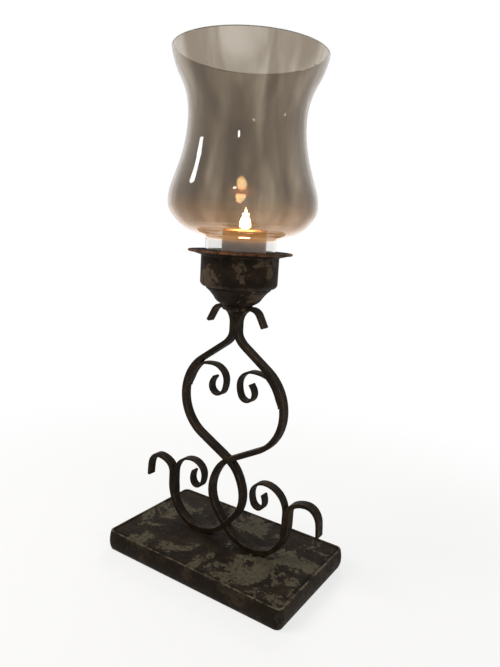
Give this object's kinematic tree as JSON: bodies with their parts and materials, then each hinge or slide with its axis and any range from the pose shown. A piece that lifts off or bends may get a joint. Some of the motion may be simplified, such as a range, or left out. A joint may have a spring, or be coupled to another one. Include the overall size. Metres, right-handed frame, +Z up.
{
  "type": "storm lantern",
  "caption": "Standing candle lantern: heavy moulded base, two crossing scroll bars with curls, a spun cup with a drip pan, a candle and a lift-off bell-shaped glass shade.",
  "frame": {"origin": "middle of the table surface under the base", "axes": "+Z up along the candle's axis, X along the base's long side and the plane of the scrolls, Y across the base"},
  "size_m": [0.2076, 0.1364, 0.4792],
  "materials": {
    "base_iron": "dark brown-black rustic patina, mottled grey-olive on top, worn pale on the raised edge",
    "wrought_iron": "dark brown-black hammered iron, waxed, edges rubbed lighter",
    "cup_iron": "dark brown-black, soft sheen, fine mottling",
    "pan_iron": "thin dark brown sheet with a coppery rubbed edge",
    "shade_glass": "clear blown glass with a faint smoky tint",
    "wax": "ivory wax, translucent, warm where the flame lights it",
    "wick_cotton": "charred cotton",
    "tab_steel": "thin pressed steel",
    "steel": "blackened steel",
    "felt": "dark felt"
  },
  "bodies": {
    "stand": {"base_plinth": "base_iron", "felt_pads": "felt", "base_screws": "steel", "base_washers": "steel", "scroll_bar_left": "wrought_iron", "scroll_bar_right": "wrought_iron", "upper_curl_left": "wrought_iron", "upper_curl_right": "wrought_iron", "lower_curl_left": "wrought_iron", "lower_curl_right": "wrought_iron", "fork_collar": "wrought_iron", "cup_bell": "cup_iron", "candle_cup": "cup_iron", "drip_pan": "pan_iron", "cup_screw": "steel", "cup_washer": "steel"},
    "shade": {"glass_shade": "shade_glass"},
    "candle": {"candle_wax": "wax", "wick": "wick_cotton", "wick_tab": "tab_steel"}
  },
  "joints": [
    {"name": "shade_lift", "type": "slide", "parent": "stand", "child": "shade", "axis": [0, 0, 1], "range_m": [0, 0.12]},
    {"name": "candle_lift", "type": "slide", "parent": "stand", "child": "candle", "axis": [0, 0, 1], "range_m": [0, 0.06]}
  ]
}
